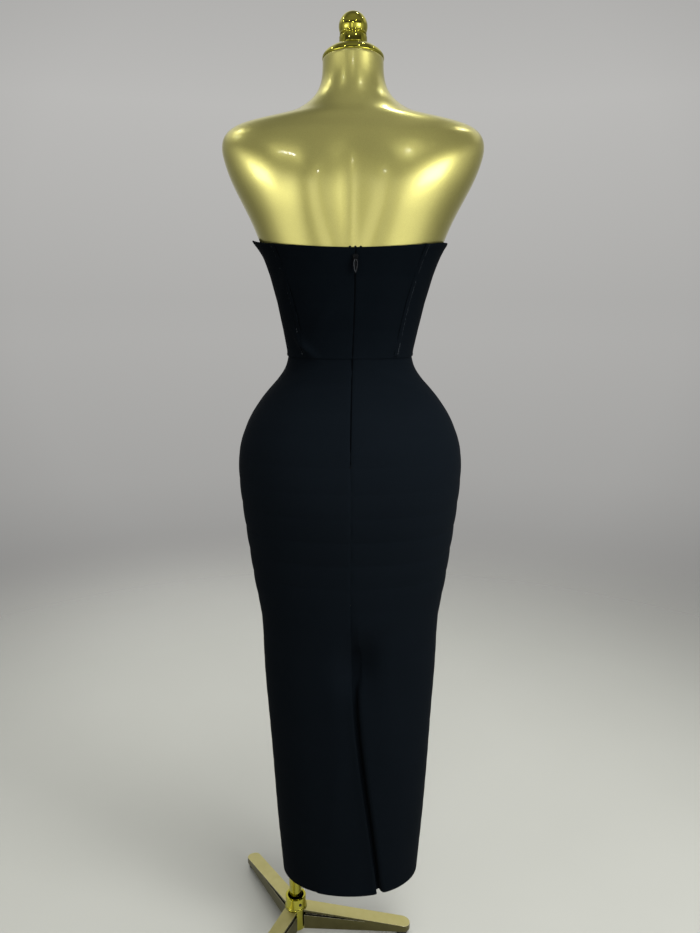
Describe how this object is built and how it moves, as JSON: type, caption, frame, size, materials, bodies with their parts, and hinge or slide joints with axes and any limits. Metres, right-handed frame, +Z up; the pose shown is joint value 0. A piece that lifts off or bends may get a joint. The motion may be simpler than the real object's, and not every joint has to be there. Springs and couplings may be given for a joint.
{
  "type": "bodycon dress on a limbless dress form",
  "caption": "Strapless ankle-length bodycon dress with a back zip and walking vent, held in shape by a limbless dress form on a three-legged stand.",
  "frame": {"origin": "on the floor under the middle of the form", "axes": "+Z up, +Y towards the back of the dress with its zip and vent, +X towards the wearer's left"},
  "size_m": [0.4451, 0.3986, 1.6867],
  "materials": {
    "black_knit": "matte heavy bandage knit with a faint sheen",
    "zip_black": "satin black zip coil and lacquered pull",
    "gold_form": "satin gold paint under clear gloss",
    "gold_mirror": "mirror polished gold plate",
    "gold_satin": "satin gold plate on cast legs",
    "black_steel": "black oxide",
    "foot_rubber": "matte"
  },
  "bodies": {
    "dress_and_stand": {"bodice_front": "black_knit", "bodice_side_back_left": "black_knit", "bodice_side_back_right": "black_knit", "bodice_back_left": "black_knit", "bodice_back_right": "black_knit", "bone_casing_left": "black_knit", "bone_casing_right": "black_knit", "skirt_front": "black_knit", "skirt_back_left": "black_knit", "skirt_back_right": "black_knit", "zip_tape": "zip_black", "zip_slider": "zip_black", "form_torso": "gold_form", "neck_cap": "gold_mirror", "finial": "gold_mirror", "pole": "gold_mirror", "hub": "gold_mirror", "set_screw": "black_steel", "leg_right": "gold_satin", "leg_left_front": "gold_satin", "leg_left_back": "gold_satin", "foot_right": "foot_rubber", "foot_left_front": "foot_rubber", "foot_left_back": "foot_rubber"},
    "pull": {"zip_pull": "zip_black"}
  },
  "joints": [
    {"name": "pull_hinge", "type": "hinge", "parent": "dress_and_stand", "child": "pull", "pos_m": [-0.00861, 0.10029, 1.30768], "axis": [1, 0, 0], "range_deg": [0, 150]}
  ]
}
